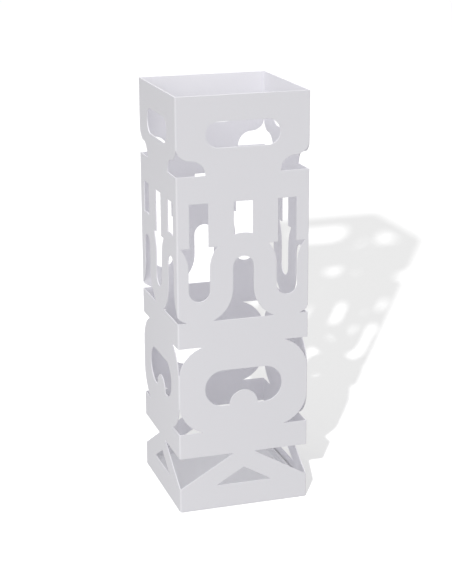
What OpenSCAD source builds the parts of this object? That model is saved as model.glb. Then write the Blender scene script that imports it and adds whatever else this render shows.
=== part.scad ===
// Square umbrella stand: an openwork column of sheet steel in six tiers, with a floor pan and a drip tray.
// Two identical L-shaped shells are bent from cut sheet and welded together along two opposite corners.
// Origin: centre of the footprint, on the floor. +Z is up, and the front face looks along -Y.

/* [Column] */
// Outside width and depth of the square column
column_w = 155; // [130:1:190]
// Thickness of the shell's sheet steel
wall_t = 1.2; // [0.8:0.1:2]
// Inside radius of the shell's bent corners
bend_r = 1; // [0.5:0.1:2]
// Height of the shell's lower edge above the floor
floor_gap = 1; // [0.5:0.1:3]

/* [Slot tier] */
// Height of the top tier, up to the rim
slot_tier_h = 88; // [74:1:106]
// Width of the hand slot
slot_w = 86; // [72:1:100]
// Height of the hand slot
slot_h = 29; // [24:1:34]
// Height of solid sheet above the hand slot
slot_top = 29; // [24:1:34]
// Radius of each of the two arcs in the S-shaped cut at the tier's lower corners
ogee_r = 17; // [14:0.5:19]

/* [Comb tier] */
// Height of the comb tier, measured down to the ends of its legs
comb_tier_h = 81; // [67:1:98]
// Height of the solid bar that the legs hang from
comb_bar_h = 31; // [26:1:38]
// Width of each gap between two legs
comb_gap_w = 22; // [16:1:27]

/* [Wave tier] */
// Height of the wave tier
wave_tier_h = 86; // [76:1:104]
// Width of the wave's ribbon
wave_ribbon_w = 27; // [22:1:32]
// How far the crests run up into the comb's legs
crest_bite = 14; // [12:0.5:16]
// How far the troughs run down into the bar
trough_bite = 3; // [2:0.5:6]

/* [Bar] */
// Height of the plain bar between the wave and the ring
bar_h = 30; // [20:1:40]

/* [Ring tier] */
// Height of the ring tier
ring_tier_h = 103; // [90:1:124]
// Width of the ring's window
ring_window_w = 92; // [76:1:108]
// Height of the ring's window
ring_window_h = 43; // [38:1:50]
// Radius of the half-round boss at the foot of the window
ring_boss_r = 17; // [12:0.5:20]
// Radius of the ring's four outer corners
ring_corner_r = 40; // [32:1:44]
// How far a corner's arc runs past the straight edge that it meets
ring_corner_bite = 1.5; // [1:0.1:3]

/* [Truss tier] */
// Height of the chord above the struts
truss_chord_h = 30; // [20:1:40]
// Height of the open truss between the chord and the bottom band
truss_open_h = 38; // [32:1:46]
// Width of each slanted strut, measured across it
strut_w = 22; // [14:1:24]
// Half the width of the joint where two struts meet the chord
truss_node_w = 12; // [8:1:16]
// Height of the solid bottom band above the shell's lower edge
band_h = 28; // [23:1:34]

/* [Floor pan] */
// Thickness of the floor pan's sheet
pan_t = 1; // [0.8:0.1:1.5]
// Height of the pan's plate above the floor
pan_z = 3; // [2.5:0.1:4]
// Height of the pan's upturned flanges, from the plate's underside
flange_h = 12; // [10:0.5:16]
// Gap between the pan's flanges and the walls
pan_gap = 0.1; // [0.05:0.05:0.3]
// Outside radius of the pan's bends
pan_bend_r = 2; // [1.6:0.1:3]
// Side of the square relief cut out of each corner of the pan
pan_relief = 6; // [5:0.5:10]
// Diameter of each plug weld in the flanges
plug_d = 5; // [4:0.5:6]
// Distance between the two plug welds of one flange
plug_pitch = 80; // [64:1:96]

/* [Feet] */
// Diameter of a foot's pad
foot_d = 18; // [15:0.5:22]
// Distance of each foot's centre from the two walls' outer faces
foot_inset = 24; // [20:1:29]
// Diameter of a foot's stem
stem_d = 6; // [5:0.5:7]
// Clearance on the diameter between a stem and its hole in the pan
stem_clearance = 0.1; // [0.05:0.05:0.3]
// Diameter of the barb that holds a stem in its hole
barb_d = 7.6; // [7.2:0.1:9]
// Height of the barb
barb_h = 2.4; // [2:0.1:2.8]

/* [Drip tray] */
// Height of the tray, from its foot ring to its rim
tray_h = 15; // [14:0.5:22]
// Gap between the tray's side and the pan's flanges
tray_gap = 1; // [0.5:0.1:2]
// Thickness of the tray's wall
tray_wall = 1.8; // [1.4:0.1:2.4]
// Radius of the tray's outer corners
tray_corner_r = 9; // [7:0.5:12]
// Height of the underside of the tray's floor above its foot ring
tray_foot_h = 3.6; // [3.2:0.1:5]
// Thickness of the tray's floor
tray_floor_t = 1.6; // [1.2:0.1:2.4]
// Width of the lip around the tray's rim, outside the wall
tray_lip = 0.9; // [0.5:0.1:1]
// Height of the lip
tray_lip_h = 1.8; // [1.2:0.1:2.4]

/* [Hidden] */
$fn = 64;
past = 1;                                   // how far a cut runs past what it cuts
half_w = column_w / 2;
corner_r = bend_r + wall_t;                 // outside radius of a bent corner

// Heights of the tiers' edges above the floor, from the bottom up.
band_top = floor_gap + band_h;
chord_bottom = band_top + truss_open_h;
ring_bottom = chord_bottom + truss_chord_h;
ring_top = ring_bottom + ring_tier_h;
wave_bottom = ring_top + bar_h;
wave_top = wave_bottom + wave_tier_h;
comb_top = wave_top + comb_tier_h;
column_h = comb_top + slot_tier_h;

// The wave: crests and troughs alternate every third of a face, so a face holds one and a half waves.
wave_step = column_w / 3;
ribbon_outer_r = (wave_step + wave_ribbon_w) / 2;
ribbon_inner_r = (wave_step - wave_ribbon_w) / 2;
crest_centre_z = wave_top + crest_bite - ribbon_outer_r;
trough_centre_z = wave_bottom - trough_bite + ribbon_outer_r;
wave_mid_z = (crest_centre_z + trough_centre_z) / 2;

// Bottom and top of each stretch of a corner that stays solid. The ribbon crosses a corner halfway
// between a trough and a crest, where its edges slope, and runs into the comb's leg above.
ribbon_reach = sqrt(ribbon_outer_r ^ 2 - (wave_step / 2 + wall_t) ^ 2);
weld_stretches = [
    [floor_gap, band_top],
    [chord_bottom, ring_bottom],
    [ring_bottom + ring_corner_r - ring_corner_bite, ring_top - ring_corner_r + ring_corner_bite],
    [ring_top, wave_bottom],
    [trough_centre_z - ribbon_reach, comb_top],
    [comb_top + 2 * ogee_r, column_h],
];

// The floor pan, the feet and the tray.
pan_half = half_w - wall_t - pan_gap;
pan_top = pan_z + pan_t;
plug_z = pan_z + (pan_bend_r + flange_h) / 2;
foot_offset = half_w - foot_inset;
tray_side = 2 * (pan_half - pan_t - tray_gap);
tray_rim = pan_top + tray_h;
tray_floor_z = pan_top + tray_foot_h;

// A slot with round ends, centred on the origin.
module rounded_slot(w, h) {
    square([w - h, h], center = true);
    for (side = [-1, 1])
        translate([side * (w - h) / 2, 0]) circle(d = h);
}

// A square with rounded corners, centred on the origin.
module rounded_square(side, r) {
    square([side, side - 2 * r], center = true);
    square([side - 2 * r, side], center = true);
    for (x = [-1, 1], y = [-1, 1])
        translate([x * (side / 2 - r), y * (side / 2 - r)]) circle(r);
}

// The opening that leaves one outer corner of the ring round. It lies to the right of the face's centre,
// on the edge z = edge_z, and rises from it when up is 1 and hangs from it when up is -1.
module ring_corner(edge_z, up) {
    centre_u = half_w - ring_corner_r;
    centre_z = edge_z + up * (ring_corner_r - ring_corner_bite);
    difference() {
        translate([centre_u, min(edge_z, centre_z)])
            square([ring_corner_r + past, ring_corner_r - ring_corner_bite]);
        translate([centre_u, centre_z]) circle(ring_corner_r);
    }
}

// The S-shaped cut at one lower corner of the top tier. The sheet above bulges out through one arc,
// then a second arc sweeps in and down to a narrower neck.
module ogee_corner() {
    middle_u = half_w - ogee_r;
    difference() {
        translate([middle_u, comb_top]) square([ogee_r + past, 2 * ogee_r]);
        translate([middle_u, comb_top + 2 * ogee_r]) circle(ogee_r);
    }
    intersection() {
        translate([middle_u, comb_top]) circle(ogee_r);
        translate([middle_u - ogee_r, comb_top]) square(ogee_r);
    }
}

module both_sides() {
    children();
    mirror([1, 0]) children();
}

// Openings of the top tier: the hand slot, and the cuts at its two lower corners.
module slot_tier_openings() {
    translate([0, column_h - slot_top - slot_h / 2]) rounded_slot(slot_w, slot_h);
    both_sides() ogee_corner();
}

// Gaps between the comb's legs. The gap at each third of the face is centred under a crest or a trough.
module comb_gaps() {
    for (k = [-1:1])
        translate([k * wave_step - comb_gap_w / 2, wave_top - past])
            square([comb_gap_w, comb_tier_h - comb_bar_h + past]);
}

// Everything under one crest's arc of radius r, down to the wave's middle line.
module crest_fill(r) {
    leg_h = crest_centre_z - wave_mid_z;
    intersection() {
        union() {
            translate([0, crest_centre_z]) circle(r);
            if (leg_h > 0) translate([-r, wave_mid_z]) square([2 * r, leg_h]);
        }
        translate([-r - past, wave_mid_z]) square([2 * (r + past), leg_h + r + past]);
    }
}

module crest() {
    difference() {
        crest_fill(ribbon_outer_r);
        crest_fill(ribbon_inner_r);
    }
}

module trough() {
    translate([0, 2 * wave_mid_z]) mirror([0, 1]) crest();
}

// The wave's ribbon over one face and a little past its corners. first is 0 where the face's centre
// holds a crest, and 1 where it holds a trough.
module wave_ribbon(first) {
    for (k = [-2:2])
        translate([k * wave_step, 0])
            if ((k + first) % 2 == 0) crest();
            else trough();
}

module comb_and_wave_openings(first) {
    difference() {
        union() {
            comb_gaps();
            translate([-half_w - past, wave_bottom]) square([column_w + 2 * past, wave_tier_h]);
        }
        wave_ribbon(first);
    }
}

// Openings of the ring tier: a window with a half-round boss at its foot, and four rounded corners.
module ring_tier_openings() {
    window_z = (ring_bottom + ring_top) / 2;
    difference() {
        translate([0, window_z]) rounded_slot(ring_window_w, ring_window_h);
        translate([0, window_z - ring_window_h / 2]) circle(ring_boss_r);
    }
    both_sides() {
        ring_corner(ring_bottom, 1);
        ring_corner(ring_top, -1);
    }
}

// Openings of the truss: a triangle between the two struts, and one at each corner of the column.
module truss_openings() {
    rise = truss_open_h / (half_w - truss_node_w);      // slope of a strut's edges
    strut_drop = strut_w * sqrt(1 + rise * rise);       // the strut's width, measured upright
    apex_z = band_top + half_w * rise - strut_drop;
    foot_u = (apex_z - band_top) / rise;
    polygon([[-foot_u, band_top], [foot_u, band_top], [0, apex_z]]);
    both_sides()
        polygon([
            [truss_node_w, chord_bottom],
            [half_w, band_top], [half_w + past, band_top],
            [half_w + past, chord_bottom],
        ]);
}

module face_openings(first) {
    slot_tier_openings();
    comb_and_wave_openings(first);
    ring_tier_openings();
    truss_openings();
}

// The solid that cuts one face's openings. It is as deep as a bent corner, and stops at the bend's middle,
// so that the openings of the bend's two faces meet there. bend_side is the face's end that holds the bend.
module face_cutter(first, bend_side) {
    reach = half_w + past;
    intersection() {
        translate([0, -half_w + corner_r, 0])
            rotate([90, 0, 0]) linear_extrude(corner_r + past) face_openings(first);
        linear_extrude(column_h)
            polygon([
                [0, 0], [bend_side * reach, -reach],
                [-2 * bend_side * reach, -reach], [-2 * bend_side * reach, 0],
            ]);
    }
}

module front_cutter() { face_cutter(0, -1); }
module left_cutter() { rotate([0, 0, -90]) face_cutter(1, 1); }

// Plan of one shell: the front wall, the left wall and the bend between them. Each wall stops a
// sheet's thickness short of its far corner, which leaves a groove for the seam weld.
module shell_plan() {
    wall_length = column_w - corner_r - wall_t;
    translate([-half_w + corner_r, -half_w]) square([wall_length, wall_t]);
    translate([-half_w, -half_w + corner_r]) square([wall_t, wall_length]);
    translate([-half_w + corner_r, -half_w + corner_r])
        intersection() {
            difference() {
                circle(corner_r);
                circle(bend_r);
            }
            translate([-corner_r, -corner_r]) square(corner_r);
        }
}

module shell() {
    color("white")
        difference() {
            translate([0, 0, floor_gap]) linear_extrude(column_h - floor_gap) shell_plan();
            front_cutter();
            left_cutter();
        }
}

// Weld metal in the groove of the front right corner, dressed round: one length for each stretch along
// which both walls are solid.
module seam_weld() {
    color("white")
        for (stretch = weld_stretches)
            translate([half_w - wall_t, -half_w + wall_t, stretch[0]])
                linear_extrude(stretch[1] - stretch[0])
                    intersection() {
                        circle(wall_t);
                        translate([0, -wall_t]) square(wall_t);
                    }
}

// Outline of the pan's plate and flanges seen along one flange: the flange, its bend and the plate.
module pan_profile() {
    flat = pan_half - pan_bend_r;
    translate([-past, 0]) square([flat + past, pan_t]);
    translate([pan_half - pan_t, pan_bend_r]) square([pan_t, flange_h - pan_bend_r]);
    translate([flat, pan_bend_r])
        intersection() {
            difference() {
                circle(pan_bend_r);
                circle(pan_bend_r - pan_t);
            }
            translate([0, -pan_bend_r]) square(pan_bend_r);
        }
}

// Puts its children against each of the pan's four flanges in turn.
module each_flange() {
    for (turn = [0:90:270])
        rotate([0, 0, turn]) children();
}

module at_plugs() {
    each_flange()
        for (side = [-1, 1])
            translate([side * plug_pitch / 2, -pan_half + pan_t, plug_z]) rotate([90, 0, 0]) children();
}

module floor_pan() {
    fold_length = 2 * (pan_half - pan_relief);
    plate_side = 2 * (pan_half - pan_bend_r);
    color("whitesmoke")
        difference() {
            union() {
                translate([0, 0, pan_z]) linear_extrude(pan_t)
                    difference() {
                        square(plate_side, center = true);
                        for (x = [-1, 1], y = [-1, 1])
                            translate([x * pan_half, y * pan_half]) square(2 * pan_relief, center = true);
                    }
                each_flange()
                    translate([fold_length / 2, 0, pan_z])
                        rotate([90, 0, -90]) linear_extrude(fold_length) pan_profile();
            }
            for (x = [-1, 1], y = [-1, 1])
                translate([x * foot_offset, y * foot_offset, pan_z - past])
                    cylinder(d = stem_d + stem_clearance, h = pan_t + 2 * past);
            at_plugs() translate([0, 0, -past]) cylinder(d = plug_d, h = pan_t + 2 * past);
        }
}

// Weld metal that fills the holes in the flanges and bonds them to the walls.
module pan_plug_welds() {
    color("whitesmoke") at_plugs() cylinder(d = plug_d, h = pan_t + pan_gap);
}

// One push-in foot: the pad under the pan, the stem through its hole and the barb above it.
module foot(x, y) {
    pad_edge = 1;                           // height of the pad's chamfered lower edge
    barb_seat = 0.1;                        // clearance between the pan and the barb
    tip_d = stem_d - 1;
    color("gray")
        translate([x * foot_offset, y * foot_offset, 0]) {
            cylinder(d1 = foot_d - 2 * pad_edge, d2 = foot_d, h = pad_edge);
            translate([0, 0, pad_edge]) cylinder(d = foot_d, h = pan_z - pad_edge);
            translate([0, 0, pan_z]) cylinder(d = stem_d, h = pan_t + barb_seat);
            translate([0, 0, pan_top + barb_seat]) cylinder(d1 = barb_d, d2 = tip_d, h = barb_h);
        }
}

// The tray lifts out. Its floor stands on a foot ring, clear of the feet's barbs.
module drip_tray() {
    inner_side = tray_side - 2 * tray_wall;
    inner_r = tray_corner_r - tray_wall;
    color("gainsboro")
        difference() {
            union() {
                translate([0, 0, pan_top]) linear_extrude(tray_h)
                    rounded_square(tray_side, tray_corner_r);
                translate([0, 0, tray_rim - tray_lip_h]) linear_extrude(tray_lip_h)
                    rounded_square(tray_side + 2 * tray_lip, tray_corner_r + tray_lip);
            }
            translate([0, 0, pan_top - past]) linear_extrude(tray_foot_h + past)
                rounded_square(inner_side, inner_r);
            translate([0, 0, tray_floor_z + tray_floor_t]) linear_extrude(tray_h)
                rounded_square(inner_side, inner_r);
        }
}

shell();  // shell_front_left
rotate([0, 0, 180]) shell();  // shell_back_right
seam_weld();  // seam_weld_front_right
rotate([0, 0, 180]) seam_weld();  // seam_weld_back_left
floor_pan();
pan_plug_welds();
drip_tray();
foot(-1, -1);  // foot_front_left
foot(1, -1);  // foot_front_right
foot(-1, 1);  // foot_back_left
foot(1, 1);  // foot_back_right
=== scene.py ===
"""The umbrella stand's looks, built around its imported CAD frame.

The two steel shells are laid out flat, as the laser cuts them, given edges that the powder coat has
rounded, and then folded. Flat lengths are in millimetres: s runs along the sheet, with 0 at the fold,
and z is the height above the floor.
"""
import math

import bmesh
import bpy
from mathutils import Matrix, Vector, noise
from mathutils.geometry import delaunay_2d_cdt


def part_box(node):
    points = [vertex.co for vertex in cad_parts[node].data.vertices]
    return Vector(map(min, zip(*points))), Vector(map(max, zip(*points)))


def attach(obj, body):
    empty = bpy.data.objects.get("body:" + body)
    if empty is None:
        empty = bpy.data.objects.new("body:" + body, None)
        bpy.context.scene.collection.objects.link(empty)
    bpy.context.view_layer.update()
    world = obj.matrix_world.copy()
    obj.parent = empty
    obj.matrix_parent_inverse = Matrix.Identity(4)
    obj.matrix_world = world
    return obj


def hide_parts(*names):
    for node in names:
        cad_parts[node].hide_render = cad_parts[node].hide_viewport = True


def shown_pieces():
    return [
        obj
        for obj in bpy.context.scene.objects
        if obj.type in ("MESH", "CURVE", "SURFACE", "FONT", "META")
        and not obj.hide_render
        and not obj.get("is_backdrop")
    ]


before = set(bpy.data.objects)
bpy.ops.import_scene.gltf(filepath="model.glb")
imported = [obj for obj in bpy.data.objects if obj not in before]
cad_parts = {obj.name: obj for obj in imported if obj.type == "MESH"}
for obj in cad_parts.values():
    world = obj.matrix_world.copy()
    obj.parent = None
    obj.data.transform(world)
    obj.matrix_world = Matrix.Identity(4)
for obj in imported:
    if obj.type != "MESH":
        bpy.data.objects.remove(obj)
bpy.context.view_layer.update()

MM = 0.001

# ---------------------------------------------------------------- sizes, from the frame where it has them
shell_low, shell_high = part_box("shell_front_left")
HALF = -shell_low.x / MM
COLUMN_W = 2 * HALF
WALL = HALF - shell_high.x / MM
SHEET_BOTTOM = shell_low.z / MM
RIM = shell_high.z / MM
BEND_R = 1.0
FOLD_R = BEND_R + WALL                      # outside radius of the fold

SLOT_TIER_H = 88.0
SLOT_W = 86.0
SLOT_H = 29.0
SLOT_TOP = 29.0
OGEE_R = 17.0
COMB_TIER_H = 81.0
COMB_BAR_H = 31.0
COMB_GAP_W = 22.0
WAVE_TIER_H = 86.0
RIBBON_W = 27.0
CREST_BITE = 14.0
TROUGH_BITE = 3.0
BAR_H = 30.0
RING_TIER_H = 103.0
WINDOW_W = 92.0
WINDOW_H = 43.0
BOSS_R = 17.0
RING_CORNER_R = 40.0
RING_CORNER_BITE = 1.5
STRUT_W = 22.0
NODE_W = 12.0
BAND_H = 28.0
TRUSS_OPEN_H = 38.0

COMB_TOP = RIM - SLOT_TIER_H
WAVE_TOP = COMB_TOP - COMB_TIER_H
WAVE_BOTTOM = WAVE_TOP - WAVE_TIER_H
RING_TOP = WAVE_BOTTOM - BAR_H
RING_BOTTOM = RING_TOP - RING_TIER_H
BAND_TOP = SHEET_BOTTOM + BAND_H
CHORD_BOTTOM = BAND_TOP + TRUSS_OPEN_H
WAVE_STEP = COLUMN_W / 3
OUTER_R = (WAVE_STEP + RIBBON_W) / 2
INNER_R = (WAVE_STEP - RIBBON_W) / 2
CREST_Z = WAVE_TOP + CREST_BITE - OUTER_R
TROUGH_Z = WAVE_BOTTOM - TROUGH_BITE + OUTER_R

# How the edges look.
ARC_STEP = 5.0                              # degrees between the points of an arc
COAT_R = 0.3                                # radius that the coat gives to a cut edge
CORNER_R = 0.5                              # radius of a cut corner in the sheet's plane
ROUND_STEPS = 3                             # strips that make up one rounded edge
CUSP = FOLD_R * (1 - math.sqrt(0.5))        # half the width left where an opening closes on a fold


# ---------------------------------------------------------------- outlines of the openings
def arc(s, z, r, start, end):
    """Points on an arc round (s, z), from the angle start to the angle end in degrees."""
    count = max(2, math.ceil(abs(end - start) / ARC_STEP))
    angles = [math.radians(start + (end - start) * k / count) for k in range(count + 1)]
    return [(s + r * math.cos(a), z + r * math.sin(a)) for a in angles]


def both_ways(s, half):
    """A closed outline from its right half, which runs from the bottom to the top."""
    return half + [(2 * s - u, z) for u, z in reversed(half)]


def flipped(outline, z):
    return [(u, 2 * z - v) for u, v in outline]


def hand_slot(s):
    z = RIM - SLOT_TOP - SLOT_H / 2
    return both_ways(s, arc(s + (SLOT_W - SLOT_H) / 2, z, SLOT_H / 2, -90, 90))


def ogee_gap(s):
    """The gap that wraps a corner under the top tier: S-shaped on both sides."""
    closing = math.degrees(math.acos((OGEE_R - CUSP) / OGEE_R))
    return both_ways(s, arc(s + OGEE_R, COMB_TOP, OGEE_R, 0, 90)
                     + arc(s + OGEE_R, COMB_TOP + 2 * OGEE_R, OGEE_R, -90, closing - 180))


def gap_over_crest(s):
    edge = math.degrees(math.acos(COMB_GAP_W / 2 / OUTER_R))
    return both_ways(s, arc(s, CREST_Z, OUTER_R, 90, edge) + [(s + COMB_GAP_W / 2, COMB_TOP - COMB_BAR_H)])


def gap_under_crest(s):
    foot = math.degrees(math.asin((TROUGH_Z - WAVE_BOTTOM) / OUTER_R))
    return both_ways(s, arc(s + WAVE_STEP, TROUGH_Z, OUTER_R, 180 + foot, 180)
                     + arc(s, CREST_Z, INNER_R, 0, 90))


def gap_over_trough(s):
    """The cup in a trough, which opens into the comb's gap above it."""
    leg = math.degrees(math.asin((WAVE_TOP - CREST_Z) / OUTER_R))
    return both_ways(s, arc(s, TROUGH_Z, INNER_R, -90, 0)
                     + arc(s + WAVE_STEP, CREST_Z, OUTER_R, 180, 180 - leg)
                     + [(s + COMB_GAP_W / 2, WAVE_TOP), (s + COMB_GAP_W / 2, COMB_TOP - COMB_BAR_H)])


def ring_window(s):
    z = (RING_BOTTOM + RING_TOP) / 2
    return both_ways(s, arc(s, z - WINDOW_H / 2, BOSS_R, 90, 0)
                     + arc(s + (WINDOW_W - WINDOW_H) / 2, z, WINDOW_H / 2, -90, 90))


def gap_under_ring(s):
    """The gap that wraps a corner under the ring, between its two round corners."""
    z = RING_BOTTOM - RING_CORNER_BITE + RING_CORNER_R
    meeting = math.degrees(math.acos(1 - RING_CORNER_BITE / RING_CORNER_R))
    closing = math.degrees(math.acos(1 - CUSP / RING_CORNER_R))
    return both_ways(s, arc(s + RING_CORNER_R, z, RING_CORNER_R, -90 - meeting, closing - 180))


def gap_over_ring(s):
    return flipped(gap_under_ring(s), (RING_BOTTOM + RING_TOP) / 2)


def strut_rise():
    return TRUSS_OPEN_H / (HALF - NODE_W)


def truss_window(s):
    apex = BAND_TOP + HALF * strut_rise() - STRUT_W * math.hypot(1, strut_rise())
    return [(s - (apex - BAND_TOP) / strut_rise(), BAND_TOP),
            (s + (apex - BAND_TOP) / strut_rise(), BAND_TOP), (s, apex)]


def truss_gap(s):
    """The triangle that wraps a corner over the bottom band."""
    return [(s, BAND_TOP), (s + HALF - NODE_W, CHORD_BOTTOM), (s - HALF + NODE_W, CHORD_BOTTOM)]


def openings():
    """Outlines of all the openings in one flat shell: two faces, the fold between them and both ends."""
    found = [make(s) for s in (-HALF, HALF) for make in (hand_slot, ring_window, truss_window)]
    found += [make(s) for s in (-COLUMN_W, 0, COLUMN_W)
              for make in (ogee_gap, gap_under_ring, gap_over_ring, truss_gap)]
    for k in range(-5, 3):                  # crests and troughs take turns along the sheet
        s = HALF + k * WAVE_STEP
        found += [make(s) for make in ((gap_over_trough,) if k % 2 else (gap_over_crest, gap_under_crest))]
    return found


# ---------------------------------------------------------------- flat sheet work
CDT_CLOSE = 1e-4                            # points this close are one point to the triangulation
REPEAT_CLOSE = 1e-3                         # neighbours in an outline this close are one point
SMALLEST_TURN = 2.5 * ARC_STEP              # degrees; a corner that turns less is a point on an arc
CORNER_STEPS = 4
LARGEST_BEND = 2.6                          # radians; a sharper corner is rounded as if it bent this much
NORMAL_LIMIT = 0.7                          # keeps the inset short at a sharp corner


def turn(a, b, c):
    """The angle by which the line a-b-c turns at b, in radians."""
    u, v = (b - a).normalized(), (c - b).normalized()
    return math.atan2(u.x * v.y - u.y * v.x, u.dot(v))


def corners_rounded(loop, r):
    """The loop with each real corner replaced by a small arc."""
    result = []
    for k, b in enumerate(loop):
        a, c = loop[k - 1], loop[(k + 1) % len(loop)]
        bend = turn(a, b, c)
        if abs(bend) < math.radians(SMALLEST_TURN):
            result.append(b)
            continue
        reach = min(r * math.tan(min(abs(bend), LARGEST_BEND) / 2), (b - a).length / 3, (c - b).length / 3)
        start, end = b + (a - b).normalized() * reach, b + (c - b).normalized() * reach
        for i in range(CORNER_STEPS + 1):   # a quadratic curve between the corner's two tangent points
            t = i / CORNER_STEPS
            result.append(start * (1 - t) ** 2 + b * 2 * t * (1 - t) + end * t * t)
    return result


def side_normals(loop):
    """The direction out of the sheet, in its plane, at each point of a loop with the sheet on its left."""
    result = []
    for k, b in enumerate(loop):
        u = (b - loop[k - 1]).normalized()
        v = (loop[(k + 1) % len(loop)] - b).normalized()
        n = Vector((u.y + v.y, -u.x - v.x)).normalized()
        result.append(n / max(NORMAL_LIMIT, n.dot(Vector((v.y, -v.x)))))
    return result


def anticlockwise(loop):
    doubled_area = sum(a[0] * b[1] - b[0] * a[1] for a, b in zip(loop, loop[1:] + loop[:1]))
    return loop if doubled_area > 0 else loop[::-1]


def triangulated(loops, lines):
    """Constrained triangles of a region: its outline is loops[0] and the other loops are cut out of it.
    lines are extra edges. Returns points, triangles that turn left, and the region's closed border loops."""
    points, edges, faces = [], [], []
    for loop in loops:
        first = len(points)
        points += [Vector(p) for p in anticlockwise(loop)]
        faces.append(list(range(first, len(points))))
    for a, b in lines:
        edges.append((len(points), len(points) + 1))
        points += [Vector(a), Vector(b)]
    points, _, triangles, _, _, sources = delaunay_2d_cdt(points, edges, faces, 0, CDT_CLOSE)
    kept = [list(t) for t, inside in zip(triangles, sources) if 0 in inside and len(inside) == 1]
    ahead = dict.fromkeys((a, b) for t in kept for a, b in zip(t, t[1:] + t[:1]))
    border = {a: b for a, b in ahead if (b, a) not in ahead}
    found = []
    while border:
        start, here = next(iter(border.items()))
        del border[start]
        loop = [start]
        while here != start:
            loop.append(here)
            here = border.pop(here)
        found.append(loop)
    return points, kept, found


def without_repeats(outline):
    result = []
    for p in outline:
        if not result or (Vector(p) - Vector(result[-1])).length > REPEAT_CLOSE:
            result.append(p)
    if (Vector(result[0]) - Vector(result[-1])).length < REPEAT_CLOSE:
        result.pop()
    return result


def flat_sheet(outline, holes, lines, thickness, round_r):
    """A sheet with rounded cut edges, still flat. Returns (s, z, depth) points, their normals as
    (s, z, depth) directions, and faces. Depth 0 is the outer surface."""
    points, _, borders = triangulated([without_repeats(o) for o in [outline] + holes], [])
    borders = [corners_rounded([points[i] for i in loop], CORNER_R) for loop in borders]
    inset = [[p - n * round_r for p, n in zip(loop, side_normals(loop))] for loop in borders]
    inset.sort(key=lambda loop: max(p.x for p in loop) - min(p.x for p in loop), reverse=True)
    points, triangles, borders = triangulated(inset, lines)
    verts, normals, faces = [], [], []
    front, back = {}, {}
    for i in sorted({i for t in triangles for i in t}):
        front[i], back[i] = len(verts), len(verts) + 1
        verts += [(points[i].x, points[i].y, 0), (points[i].x, points[i].y, thickness)]
        normals += [(0, 0, -1), (0, 0, 1)]
    for a, b, c in triangles:
        faces += [(front[a], front[b], front[c]), (back[c], back[b], back[a])]
    for loop in borders:
        out = side_normals([points[i] for i in loop])
        rings = [[front[i] for i in loop]]
        quarter = [math.radians(90 * k / ROUND_STEPS) for k in range(1, ROUND_STEPS + 1)]
        profile = [(math.sin(a), round_r * (1 - math.cos(a)), -math.cos(a)) for a in quarter]
        profile += [(share, thickness - depth, -tilt) for share, depth, tilt in reversed(profile)]
        for share, depth, tilt in profile:
            rings.append(list(range(len(verts), len(verts) + len(loop))))
            for i, n in zip(loop, out):
                p = points[i] + n * round_r * share
                verts.append((p.x, p.y, depth))
                m = n.normalized() * share
                normals.append((m.x, m.y, tilt))
        rings.append([back[i] for i in loop])
        for ring, deeper in zip(rings, rings[1:]):
            for k in range(len(loop)):
                j = (k + 1) % len(loop)
                faces.append((ring[j], ring[k], deeper[k], deeper[j]))
    return verts, normals, faces


# ---------------------------------------------------------------- folding the sheet
FOLD_LINES = 9                              # lines across the fold, evenly spaced


def fold(s, depth):
    """Where a point of the flat sheet lies on the plan once it is folded, and the plan directions along
    the sheet and into it."""
    if s > FOLD_R:
        return (-HALF + s, -HALF + depth), (1, 0), (0, 1)
    if s < -FOLD_R:
        return (-HALF + depth, -HALF - s), (0, -1), (1, 0)
    a = math.radians(45) * (1 - s / FOLD_R)
    centre, r = -HALF + FOLD_R, FOLD_R - depth
    inward = math.sin(a), math.cos(a)
    return (centre - r * inward[0], centre - r * inward[1]), (inward[1], -inward[0]), inward


def new_object(name, verts, faces):
    mesh = bpy.data.meshes.new(name)
    mesh.from_pydata([Vector(v) * MM for v in verts], [], faces)
    mesh.shade_smooth()
    obj = bpy.data.objects.new(name, mesh)
    bpy.context.scene.collection.objects.link(obj)
    return obj


def shell(name, half_turn):
    """One folded shell. The second is the first turned half round."""
    way = -1 if half_turn else 1
    reach = COLUMN_W - WALL
    outline = [(-reach, SHEET_BOTTOM), (reach, SHEET_BOTTOM), (reach, RIM), (-reach, RIM)]
    folds = [FOLD_R * (2 * k / (FOLD_LINES - 1) - 1) for k in range(FOLD_LINES)]
    lines = [((s, SHEET_BOTTOM - 1), (s, RIM + 1)) for s in folds]
    flat, flat_normals, faces = flat_sheet(outline, openings(), lines, WALL, COAT_R)
    verts, normals = [], []
    for (s, z, depth), (ns, nz, nd) in zip(flat, flat_normals):
        (x, y), along, inward = fold(s, depth)
        verts.append((way * x, way * y, z))
        n = Vector((along[0] * ns + inward[0] * nd, along[1] * ns + inward[1] * nd, nz)).normalized()
        normals.append((way * n.x, way * n.y, n.z))
    obj = new_object(name, verts, faces)
    obj.data.normals_split_custom_set_from_vertices(normals)
    return obj


# ---------------------------------------------------------------- lofted pieces
def loft(name, rings):
    """A closed skin over rings of points, listed from the first to the last. Each ring turns left."""
    verts = [point for ring in rings for point in ring]
    n = len(rings[0])
    faces = [list(reversed(range(n))), list(range(len(verts) - n, len(verts)))]
    for k in range(len(rings) - 1):
        for i in range(n):
            j = (i + 1) % n
            faces.append((k * n + i, k * n + j, (k + 1) * n + j, (k + 1) * n + i))
    return new_object(name, verts, faces)


def weighted(obj):
    """Smooth shading that keeps flat faces flat and leaves the sharp edges sharp."""
    obj.modifiers.new("normals", "WEIGHTED_NORMAL").keep_sharp = True


def sharpened(obj, angle):
    """Marks the edges that turn by more than the angle, in degrees, as sharp."""
    obj.data.set_sharp_from_angle(angle=math.radians(angle))


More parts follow.
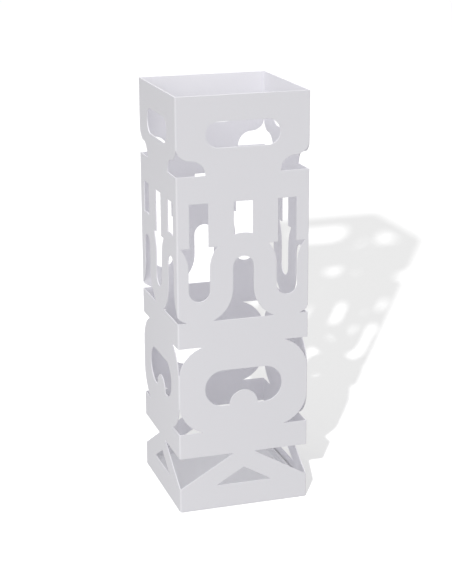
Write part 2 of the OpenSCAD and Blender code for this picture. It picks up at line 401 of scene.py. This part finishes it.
BEAD_LAP = 0.6                              # how far the bead laps over each sheet
BEAD_PROUD = 0.02                           # how far the dressed bead stands proud of the sheets
BEAD_STATION = 3.0                          # spacing of the sections along the bead
BEAD_END = 0.35                             # length of the rounding at a square end of the bead
BEAD_END_SIZE = 0.8                         # how far that rounding draws the bead's section in
BEAD_ARC_STEPS = 8
BEAD_SHARP = 50                             # degrees
RIPPLE = 0.8                                # how much of its height the bead's ripple may add or take
RIPPLE_RATE = 0.11                          # ripples per millimetre, roughly
RIPPLE_PLACE = (7.3, 0.4)                   # where in the noise the ripples are read
NOSE = 0.28 * WALL                          # how far the bead's round nose lies inside the column's corner


def bead_ring(z, proud, size, way):
    """One section of the dressed weld in the front right corner. a runs right and b forward from the
    groove's inner corner, and a size under 1 draws the section in towards that corner."""
    outer = [(-BEAD_LAP, WALL - 2 * BEAD_PROUD), (-0.7 * BEAD_LAP, WALL + 0.6 * proud)]
    outer += [((WALL + proud) * math.sin(t), (WALL + proud) * math.cos(t))
              for t in (math.radians(90 * k / BEAD_ARC_STEPS) for k in range(BEAD_ARC_STEPS + 1))]
    outer += [(b, a) for a, b in reversed(outer[:2])]
    root = [(-0.5 * WALL, 0.5 * WALL), (-0.4 * WALL, 0.2 * WALL), (-0.3 * WALL, -BEAD_PROUD)]
    inner = [(b, a) for a, b in root] + [(-0.08 * WALL, -0.08 * WALL)] + list(reversed(root))
    corner, middle = HALF - WALL, 0.1 * WALL
    ring = []
    for a, b in reversed(outer + inner):
        a, b = middle + (a - middle) * size, middle + (b - middle) * size
        ring.append((way * (corner + a), way * (-corner - b), z))
    return ring


def bead_end(cut_r):
    """How the bead ends, as (distance past the last full section, size of the section). With a cut_r, the
    sheets run out there along round cuts of that radius, and the bead runs out with them."""
    if not cut_r:
        return [(0, BEAD_END_SIZE)]
    depths = ((NOSE, 1.0), (2 * NOSE, 0.55), (3.1 * NOSE, 0.1))
    return [(math.sqrt(2 * cut_r * d - d * d), size) for d, size in depths]


def seam(name, half_turn):
    """The bead along one seam, in the stretches where both sheets reach the corner."""
    way = -1 if half_turn else 1
    reach = math.sqrt(OUTER_R ** 2 - (WAVE_STEP / 2 + WALL) ** 2)
    ring_bite = RING_CORNER_R - RING_CORNER_BITE
    stretches = [(SHEET_BOTTOM, BAND_TOP, 0, 0), (CHORD_BOTTOM, RING_BOTTOM, 0, 0),
                 (RING_BOTTOM + ring_bite, RING_TOP - ring_bite, RING_CORNER_R, RING_CORNER_R),
                 (RING_TOP, WAVE_BOTTOM, 0, 0), (TROUGH_Z - reach, COMB_TOP, 0, 0),
                 (COMB_TOP + 2 * OGEE_R, RIM, OGEE_R, 0)]
    made = []
    for low, high, low_cut, high_cut in stretches:
        count = max(2, round((high - low) / BEAD_STATION))
        rings = [bead_ring(low - run, 0, size, way) for run, size in reversed(bead_end(low_cut))]
        for k in range(count + 1):
            z = low + BEAD_END + (high - low - 2 * BEAD_END) * k / count
            ripple = noise.noise(Vector((way * RIPPLE_PLACE[0], RIPPLE_PLACE[1], z * RIPPLE_RATE)))
            rings.append(bead_ring(z, BEAD_PROUD * (1 + RIPPLE * ripple), 1, way))
        rings += [bead_ring(high + run, 0, size, way) for run, size in bead_end(high_cut)]
        made.append(loft(f"{name}_{len(made)}", rings))
        sharpened(made[-1], BEAD_SHARP)
    return joined(name, made)


def joined(name, objs):
    """One object that holds the meshes of several."""
    mesh = bpy.data.meshes.new(name)
    work = bmesh.new()
    for obj in objs:
        work.from_mesh(obj.data)
        old = obj.data
        bpy.data.objects.remove(obj)
        bpy.data.meshes.remove(old)
    work.to_mesh(mesh)
    work.free()
    whole = bpy.data.objects.new(name, mesh)
    bpy.context.scene.collection.objects.link(whole)
    weighted(whole)
    return whole


RING_STEPS = 10                             # steps round each corner of the tray
QUARTER_STEPS = 4                           # steps round each edge of the tray's section


def on_circle(x, y, r, degrees):
    a = math.radians(degrees)
    return x + r * math.cos(a), y + r * math.sin(a)


def rounded_ring(half, r, z):
    """A square ring of points with round corners."""
    ring = []
    for quarter, (right, back) in enumerate([(1, 1), (-1, 1), (-1, -1), (1, -1)]):
        for k in range(RING_STEPS + 1):
            turned = 90 * (quarter + k / RING_STEPS)
            ring.append((*on_circle(right * (half - r), back * (half - r), r, turned), z))
    return ring


def quarter_turn(x, z, r, start):
    """Points on a quarter circle with its centre at (x, z), counted anticlockwise from the angle start."""
    return [on_circle(x, z, r, start + 90 * k / QUARTER_STEPS) for k in range(QUARTER_STEPS + 1)]


TRAY_WALL = 1.8
TRAY_CORNER_R = 9.0
TRAY_LIP = 0.9
TRAY_LIP_H = 1.8
TRAY_FOOT_H = 3.6
TRAY_FLOOR = 1.6
TRAY_FILLET = 2.0
TRAY_EDGE_R = 0.4                           # the foot ring's edges and the lip's lower edge
TRAY_RIM_R = 0.6                            # the rim's two edges
TRAY_SMALLEST_R = 0.5                       # corner radius of the rings nearest the middle
TRAY_MIDDLE = 10                            # half width of the squares that close the floor
TRAY_FLAT = 20                              # how far the floor's last flat ring lies inside the wall
TRAY_SHARP = 50                             # degrees


def drip_tray():
    """The tray's section, from the middle of its underside round the rim to the middle of its floor."""
    low, high = (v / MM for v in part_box("drip_tray"))
    side = high.x - TRAY_LIP
    inner = side - TRAY_WALL
    underside = low.z + TRAY_FOOT_H
    floor_top = underside + TRAY_FLOOR
    lip_bottom = high.z - TRAY_LIP_H
    path = [(TRAY_MIDDLE, underside), (inner - 1, underside), (inner, underside - 0.5)]
    path += quarter_turn(inner + TRAY_EDGE_R, low.z + TRAY_EDGE_R, TRAY_EDGE_R, 180)
    path += quarter_turn(side - TRAY_EDGE_R, low.z + TRAY_EDGE_R, TRAY_EDGE_R, 270)
    path += [(side, lip_bottom - TRAY_EDGE_R), (side + 0.25, lip_bottom - 0.05)]
    path += quarter_turn(high.x - TRAY_EDGE_R, lip_bottom + TRAY_EDGE_R, TRAY_EDGE_R, 270)
    path += quarter_turn(high.x - TRAY_RIM_R, high.z - TRAY_RIM_R, TRAY_RIM_R, 0)
    path += quarter_turn(inner + TRAY_RIM_R, high.z - TRAY_RIM_R, TRAY_RIM_R, 90)
    path += [(inner, floor_top + TRAY_FILLET + 1)]
    path += reversed(quarter_turn(inner - TRAY_FILLET, floor_top + TRAY_FILLET, TRAY_FILLET, 270))
    path += [(inner - TRAY_FLAT, floor_top), (TRAY_MIDDLE, floor_top)]
    rings = [rounded_ring(x, max(TRAY_SMALLEST_R, TRAY_CORNER_R + x - side), z) for x, z in path]
    obj = loft("tray_moulding", rings)
    sharpened(obj, TRAY_SHARP)
    weighted(obj)
    return obj


PAD_SEGMENTS = 48
PAD_SHARP = 40                              # degrees
STEM_R = 3.0
BARB_R = 3.8
BARB_RISE = 1.1                             # from the pan's underside to the barb


def foot(node):
    """A push-in foot: a pad under the pan, a stem through it and a barb above it."""
    low, high = (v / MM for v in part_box(node))
    x, y = (low.x + high.x) / 2, (low.y + high.y) / 2
    pad_r = (high.x - low.x) / 2
    pan_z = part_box("floor_pan")[0].z / MM
    barb_z = pan_z + BARB_RISE
    dimple = [(2, 0.35), (2.6, 0.3), (3.0, 0)]
    lower_edge = [(pad_r - 1.3, 0), (pad_r - 1.0, 0.06), (pad_r - 0.35, 0.55), (pad_r - 0.08, 0.95),
                  (pad_r, 1.3)]
    upper_edge = [(pad_r, pan_z - 0.5), (pad_r - 0.15, pan_z - 0.15), (pad_r - 0.5, pan_z)]
    stem = [(STEM_R, pan_z), (STEM_R, barb_z)]
    barb = [(BARB_R - 0.1, barb_z), (BARB_R, barb_z + 0.15), (2.7, high.z - 0.3), (2.3, high.z), (1, high.z)]
    rings = []
    for r, z in dimple + lower_edge + upper_edge + stem + barb:
        rings.append([(*on_circle(x, y, r, 360 * k / PAD_SEGMENTS), z) for k in range(PAD_SEGMENTS)])
    obj = loft(node.replace("foot", "pad"), rings)
    sharpened(obj, PAD_SHARP)
    weighted(obj)
    return obj


# ---------------------------------------------------------------- materials
def material(name, roughness):
    mat = bpy.data.materials.new(name)
    mat.use_nodes = True
    shader = mat.node_tree.nodes["Principled BSDF"]
    shader.inputs["Roughness"].default_value = roughness
    return mat, mat.node_tree, shader


def add(tree, kind, **values):
    node = tree.nodes.new(kind)
    for key, value in values.items():
        if key in node.inputs:
            node.inputs[key].default_value = value
        else:
            setattr(node, key, value)
    return node


PATCH_SCALE = 9.0                           # how often the colour drifts, per metre


def speckled(name, light, dark, roughness, grain, grain_depth, swell, swell_depth):
    """A surface whose colour drifts slightly between two values, with fine grain on a longer swell.
    grain and swell are noise scales per metre, and their depths are in metres."""
    mat, tree, shader = material(name, roughness)
    place = add(tree, "ShaderNodeTexCoord").outputs["Object"]
    drift = add(tree, "ShaderNodeTexNoise", Scale=PATCH_SCALE, Detail=3.0)
    fine = add(tree, "ShaderNodeTexNoise", Scale=grain, Detail=2.0)
    wide = add(tree, "ShaderNodeTexNoise", Scale=swell, Detail=1.0)
    for texture in (drift, fine, wide):
        tree.links.new(place, texture.inputs["Vector"])
    blend = add(tree, "ShaderNodeMix", data_type="RGBA")
    first, second = [socket for socket in blend.inputs if socket.type == "RGBA"]
    first.default_value, second.default_value = (*dark, 1), (*light, 1)
    both = add(tree, "ShaderNodeMath", operation="ADD")
    tree.links.new(drift.outputs["Fac"], both.inputs[0])
    tree.links.new(fine.outputs["Fac"], both.inputs[1])
    half = add(tree, "ShaderNodeMath", operation="MULTIPLY")
    half.inputs[1].default_value = 0.5
    tree.links.new(both.outputs[0], half.inputs[0])
    tree.links.new(half.outputs[0], blend.inputs["Factor"])
    mixed = next(socket for socket in blend.outputs if socket.type == "RGBA")
    tree.links.new(mixed, shader.inputs["Base Color"])
    normal = None
    for texture, depth in ((wide, swell_depth), (fine, grain_depth)):
        bump = add(tree, "ShaderNodeBump", Distance=depth)
        tree.links.new(texture.outputs["Fac"], bump.inputs["Height"])
        if normal:
            tree.links.new(normal, bump.inputs["Normal"])
        normal = bump.outputs["Normal"]
    tree.links.new(normal, shader.inputs["Normal"])
    return mat


def dress(obj, mat):
    obj.data.materials.clear()
    obj.data.materials.append(mat)


powder = speckled("white_powder_coat", (0.912, 0.905, 0.944), (0.882, 0.875, 0.914), roughness=0.44,
                  grain=1500.0, grain_depth=0.00002, swell=420.0, swell_depth=0.00006)
moulded = speckled("white_plastic", (0.89, 0.89, 0.91), (0.87, 0.87, 0.89), roughness=0.6,
                   grain=2400.0, grain_depth=0.00001, swell=60.0, swell_depth=0.00004)
rubber = speckled("grey_rubber", (0.20, 0.20, 0.205), (0.16, 0.16, 0.165), roughness=0.8,
                  grain=2600.0, grain_depth=0.00002, swell=90.0, swell_depth=0.00003)

# ---------------------------------------------------------------- the stand's pieces
for name, node, half_turn in (("folded_sheet_front_left", "shell_front_left", False),
                              ("folded_sheet_back_right", "shell_back_right", True)):
    sheet = shell(name, half_turn)
    dress(sheet, powder)
    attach(sheet, "stand")
    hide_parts(node)

for name, node, half_turn in (("dressed_weld_front_right", "seam_weld_front_right", False),
                              ("dressed_weld_back_left", "seam_weld_back_left", True)):
    bead = seam(name, half_turn)
    dress(bead, powder)
    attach(bead, "stand")
    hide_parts(node)

tray = drip_tray()
dress(tray, moulded)
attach(tray, "tray")
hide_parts("drip_tray")

for node in ("foot_front_left", "foot_front_right", "foot_back_left", "foot_back_right"):
    pad = foot(node)
    dress(pad, rubber)
    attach(pad, "stand")
    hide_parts(node)

PAN_EDGE = 0.0002                           # metres; the rounding of the pan's edges
PLUG_EDGE = 0.0001                          # metres; the rounding of the plug welds' edges
VERTICES_MEET = 0.000001                    # metres
FLAT_WITHIN = 1                             # degrees; faces that turn less become one
ROUNDED_OVER = 40                           # degrees; edges that turn more are rounded

for node, edge in (("floor_pan", PAN_EDGE), ("pan_plug_welds", PLUG_EDGE)):
    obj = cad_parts[node]
    dress(obj, powder)
    weld = obj.modifiers.new("weld", "WELD")
    weld.merge_threshold = VERTICES_MEET
    flat = obj.modifiers.new("flat", "DECIMATE")
    flat.decimate_type = "DISSOLVE"
    flat.angle_limit = math.radians(FLAT_WITHIN)
    bevel = obj.modifiers.new("edges", "BEVEL")
    bevel.width = edge
    bevel.segments = 2
    bevel.limit_method = "ANGLE"
    bevel.angle_limit = math.radians(ROUNDED_OVER)
    weighted(obj)

# ---------------------------------------------------------------- floor and world
FLOOR_SIDE = 60.0                           # metres, so that it fills the view behind the stand
FLOOR_GREY = (0.9, 0.9, 0.9, 1)
FLOOR_GLOW = 0.155                          # keeps the shadow as pale as in the photo
WORLD_STRENGTH = 0.45
ZENITH = 2.0                                # how much brighter the world is overhead than at the horizon


def plane(name, side):
    mesh = bpy.data.meshes.new(name)
    corners = [(-side, -side, 0), (side, -side, 0), (side, side, 0), (-side, side, 0)]
    mesh.from_pydata([Vector(c) / 2 for c in corners], [], [(0, 1, 2, 3)])
    obj = bpy.data.objects.new(name, mesh)
    bpy.context.scene.collection.objects.link(obj)
    return obj


floor = plane("floor", FLOOR_SIDE)
paper, tree, shader = material("white_floor", 0.9)
shader.inputs["Base Color"].default_value = FLOOR_GREY
shader.inputs["Specular IOR Level"].default_value = 0.1
shader.inputs["Emission Color"].default_value = (1, 1, 1, 1)
shader.inputs["Emission Strength"].default_value = FLOOR_GLOW
dress(floor, paper)
floor.visible_diffuse = False               # the stand neither receives nor reflects the floor's light
floor.visible_glossy = False
floor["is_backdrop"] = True

scene = bpy.context.scene
scene.view_settings.view_transform = "Standard"
world = bpy.data.worlds.new("studio")
world.use_nodes = True
sky = world.node_tree
background = sky.nodes["Background"]
background.inputs["Strength"].default_value = WORLD_STRENGTH
height = add(sky, "ShaderNodeSeparateXYZ")
sky.links.new(add(sky, "ShaderNodeTexCoord").outputs["Generated"], height.inputs[0])
brighter = add(sky, "ShaderNodeMapRange")
brighter.inputs["To Min"].default_value = 1.0
brighter.inputs["To Max"].default_value = ZENITH
sky.links.new(height.outputs["Z"], brighter.inputs["Value"])
sky.links.new(brighter.outputs["Result"], background.inputs["Color"])
scene.world = world


# ---------------------------------------------------------------- lights and camera
KEY_AIM = (30.8, -20.4)                     # azimuth and elevation, from behind the camera's left shoulder
KEY_SOFTNESS = 50.0                         # degrees across
LAMP_PLACE = (-1.11, -2.03, 1.37)           # fitted to the edge of the shadow in the photo
LAMP_R = 0.036                              # gives the shadow's soft edge
CAMERA_PLACE = (-0.498, -1.602, 0.740)      # fitted to the column's corners in the photo
CAMERA_AIM = (17.38, -16.63)                # azimuth and elevation
CAMERA_ROLL = -0.28                         # degrees
CAMERA_LENS = 91.7                          # mm, on a sensor 36 mm high
SENSOR = 36.0


def direction(azimuth, elevation):
    """A direction from its angles in degrees: azimuth runs from +Y towards +X, and elevation is above the
    horizon."""
    a, e = math.radians(azimuth), math.radians(elevation)
    return Vector((math.sin(a) * math.cos(e), math.cos(a) * math.cos(e), math.sin(e)))


def aimed(obj, forward, roll=0.0):
    obj.rotation_euler = forward.to_track_quat("-Z", "Y").to_euler()
    obj.rotation_euler.rotate_axis("Z", math.radians(roll))


def receivers(name, objs):
    """A group of objects for a light to fall on. The light passes everything else by."""
    group = bpy.data.collections.new(name)
    for obj in objs:
        group.objects.link(obj)
    return group


def light(name, kind, energy, lit):
    lamp = bpy.data.objects.new(name, bpy.data.lights.new(name, kind))
    lamp.data.energy = energy
    lamp.light_linking.receiver_collection = lit
    scene.collection.objects.link(lamp)
    return lamp


def even_lamp(name, place, energy, radius, lit):
    """A small lamp whose light doesn't weaken with distance, so that the floor stays evenly bright."""
    lamp = light(name, "POINT", energy, lit)
    lamp.data.shadow_soft_size = radius
    lamp.location = place
    lamp.data.use_nodes = True
    tree = lamp.data.node_tree
    falloff = add(tree, "ShaderNodeLightFalloff", Strength=1.0)
    tree.links.new(falloff.outputs["Constant"], tree.nodes["Emission"].inputs["Strength"])


def softbox(name, place, aim, size, energy, lit):
    """A round softbox that isn't seen itself."""
    lamp = light(name, "AREA", energy, lit)
    lamp.data.shape = "DISK"
    lamp.data.size = size
    lamp.location = place
    aimed(lamp, Vector(aim) - Vector(place))
    lamp.visible_camera = False


stage_only = receivers("stage_only", [floor])
stand_only = receivers("stand_only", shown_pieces())
stand_without_tray = receivers("stand_without_tray", [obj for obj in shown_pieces() if obj != tray])

key = light("key_light", "SUN", 0.81, stand_only)
key.data.angle = math.radians(KEY_SOFTNESS)
aimed(key, direction(*KEY_AIM))
even_lamp("floor_light", LAMP_PLACE, 50.0, LAMP_R, stage_only)
softbox("overhead_light", (0, 0.001, 1.6), (0, 0, 0), size=0.5, energy=2.1, lit=stand_only)
softbox("well_light", (0, 0.001, 0.8), (0, 0, 0), size=0.13, energy=0.35, lit=stand_without_tray)
softbox("low_fill", (-0.62, -0.3, 0.12), (-0.08, 0, 0.12), size=0.25, energy=0.40, lit=stand_only)

camera = bpy.data.objects.new("camera", bpy.data.cameras.new("camera"))
camera.location = CAMERA_PLACE
aimed(camera, direction(*CAMERA_AIM), CAMERA_ROLL)
camera.data.sensor_width = SENSOR
camera.data.lens = CAMERA_LENS
scene.collection.objects.link(camera)
scene.camera = camera

bpy.context.view_layer.update()
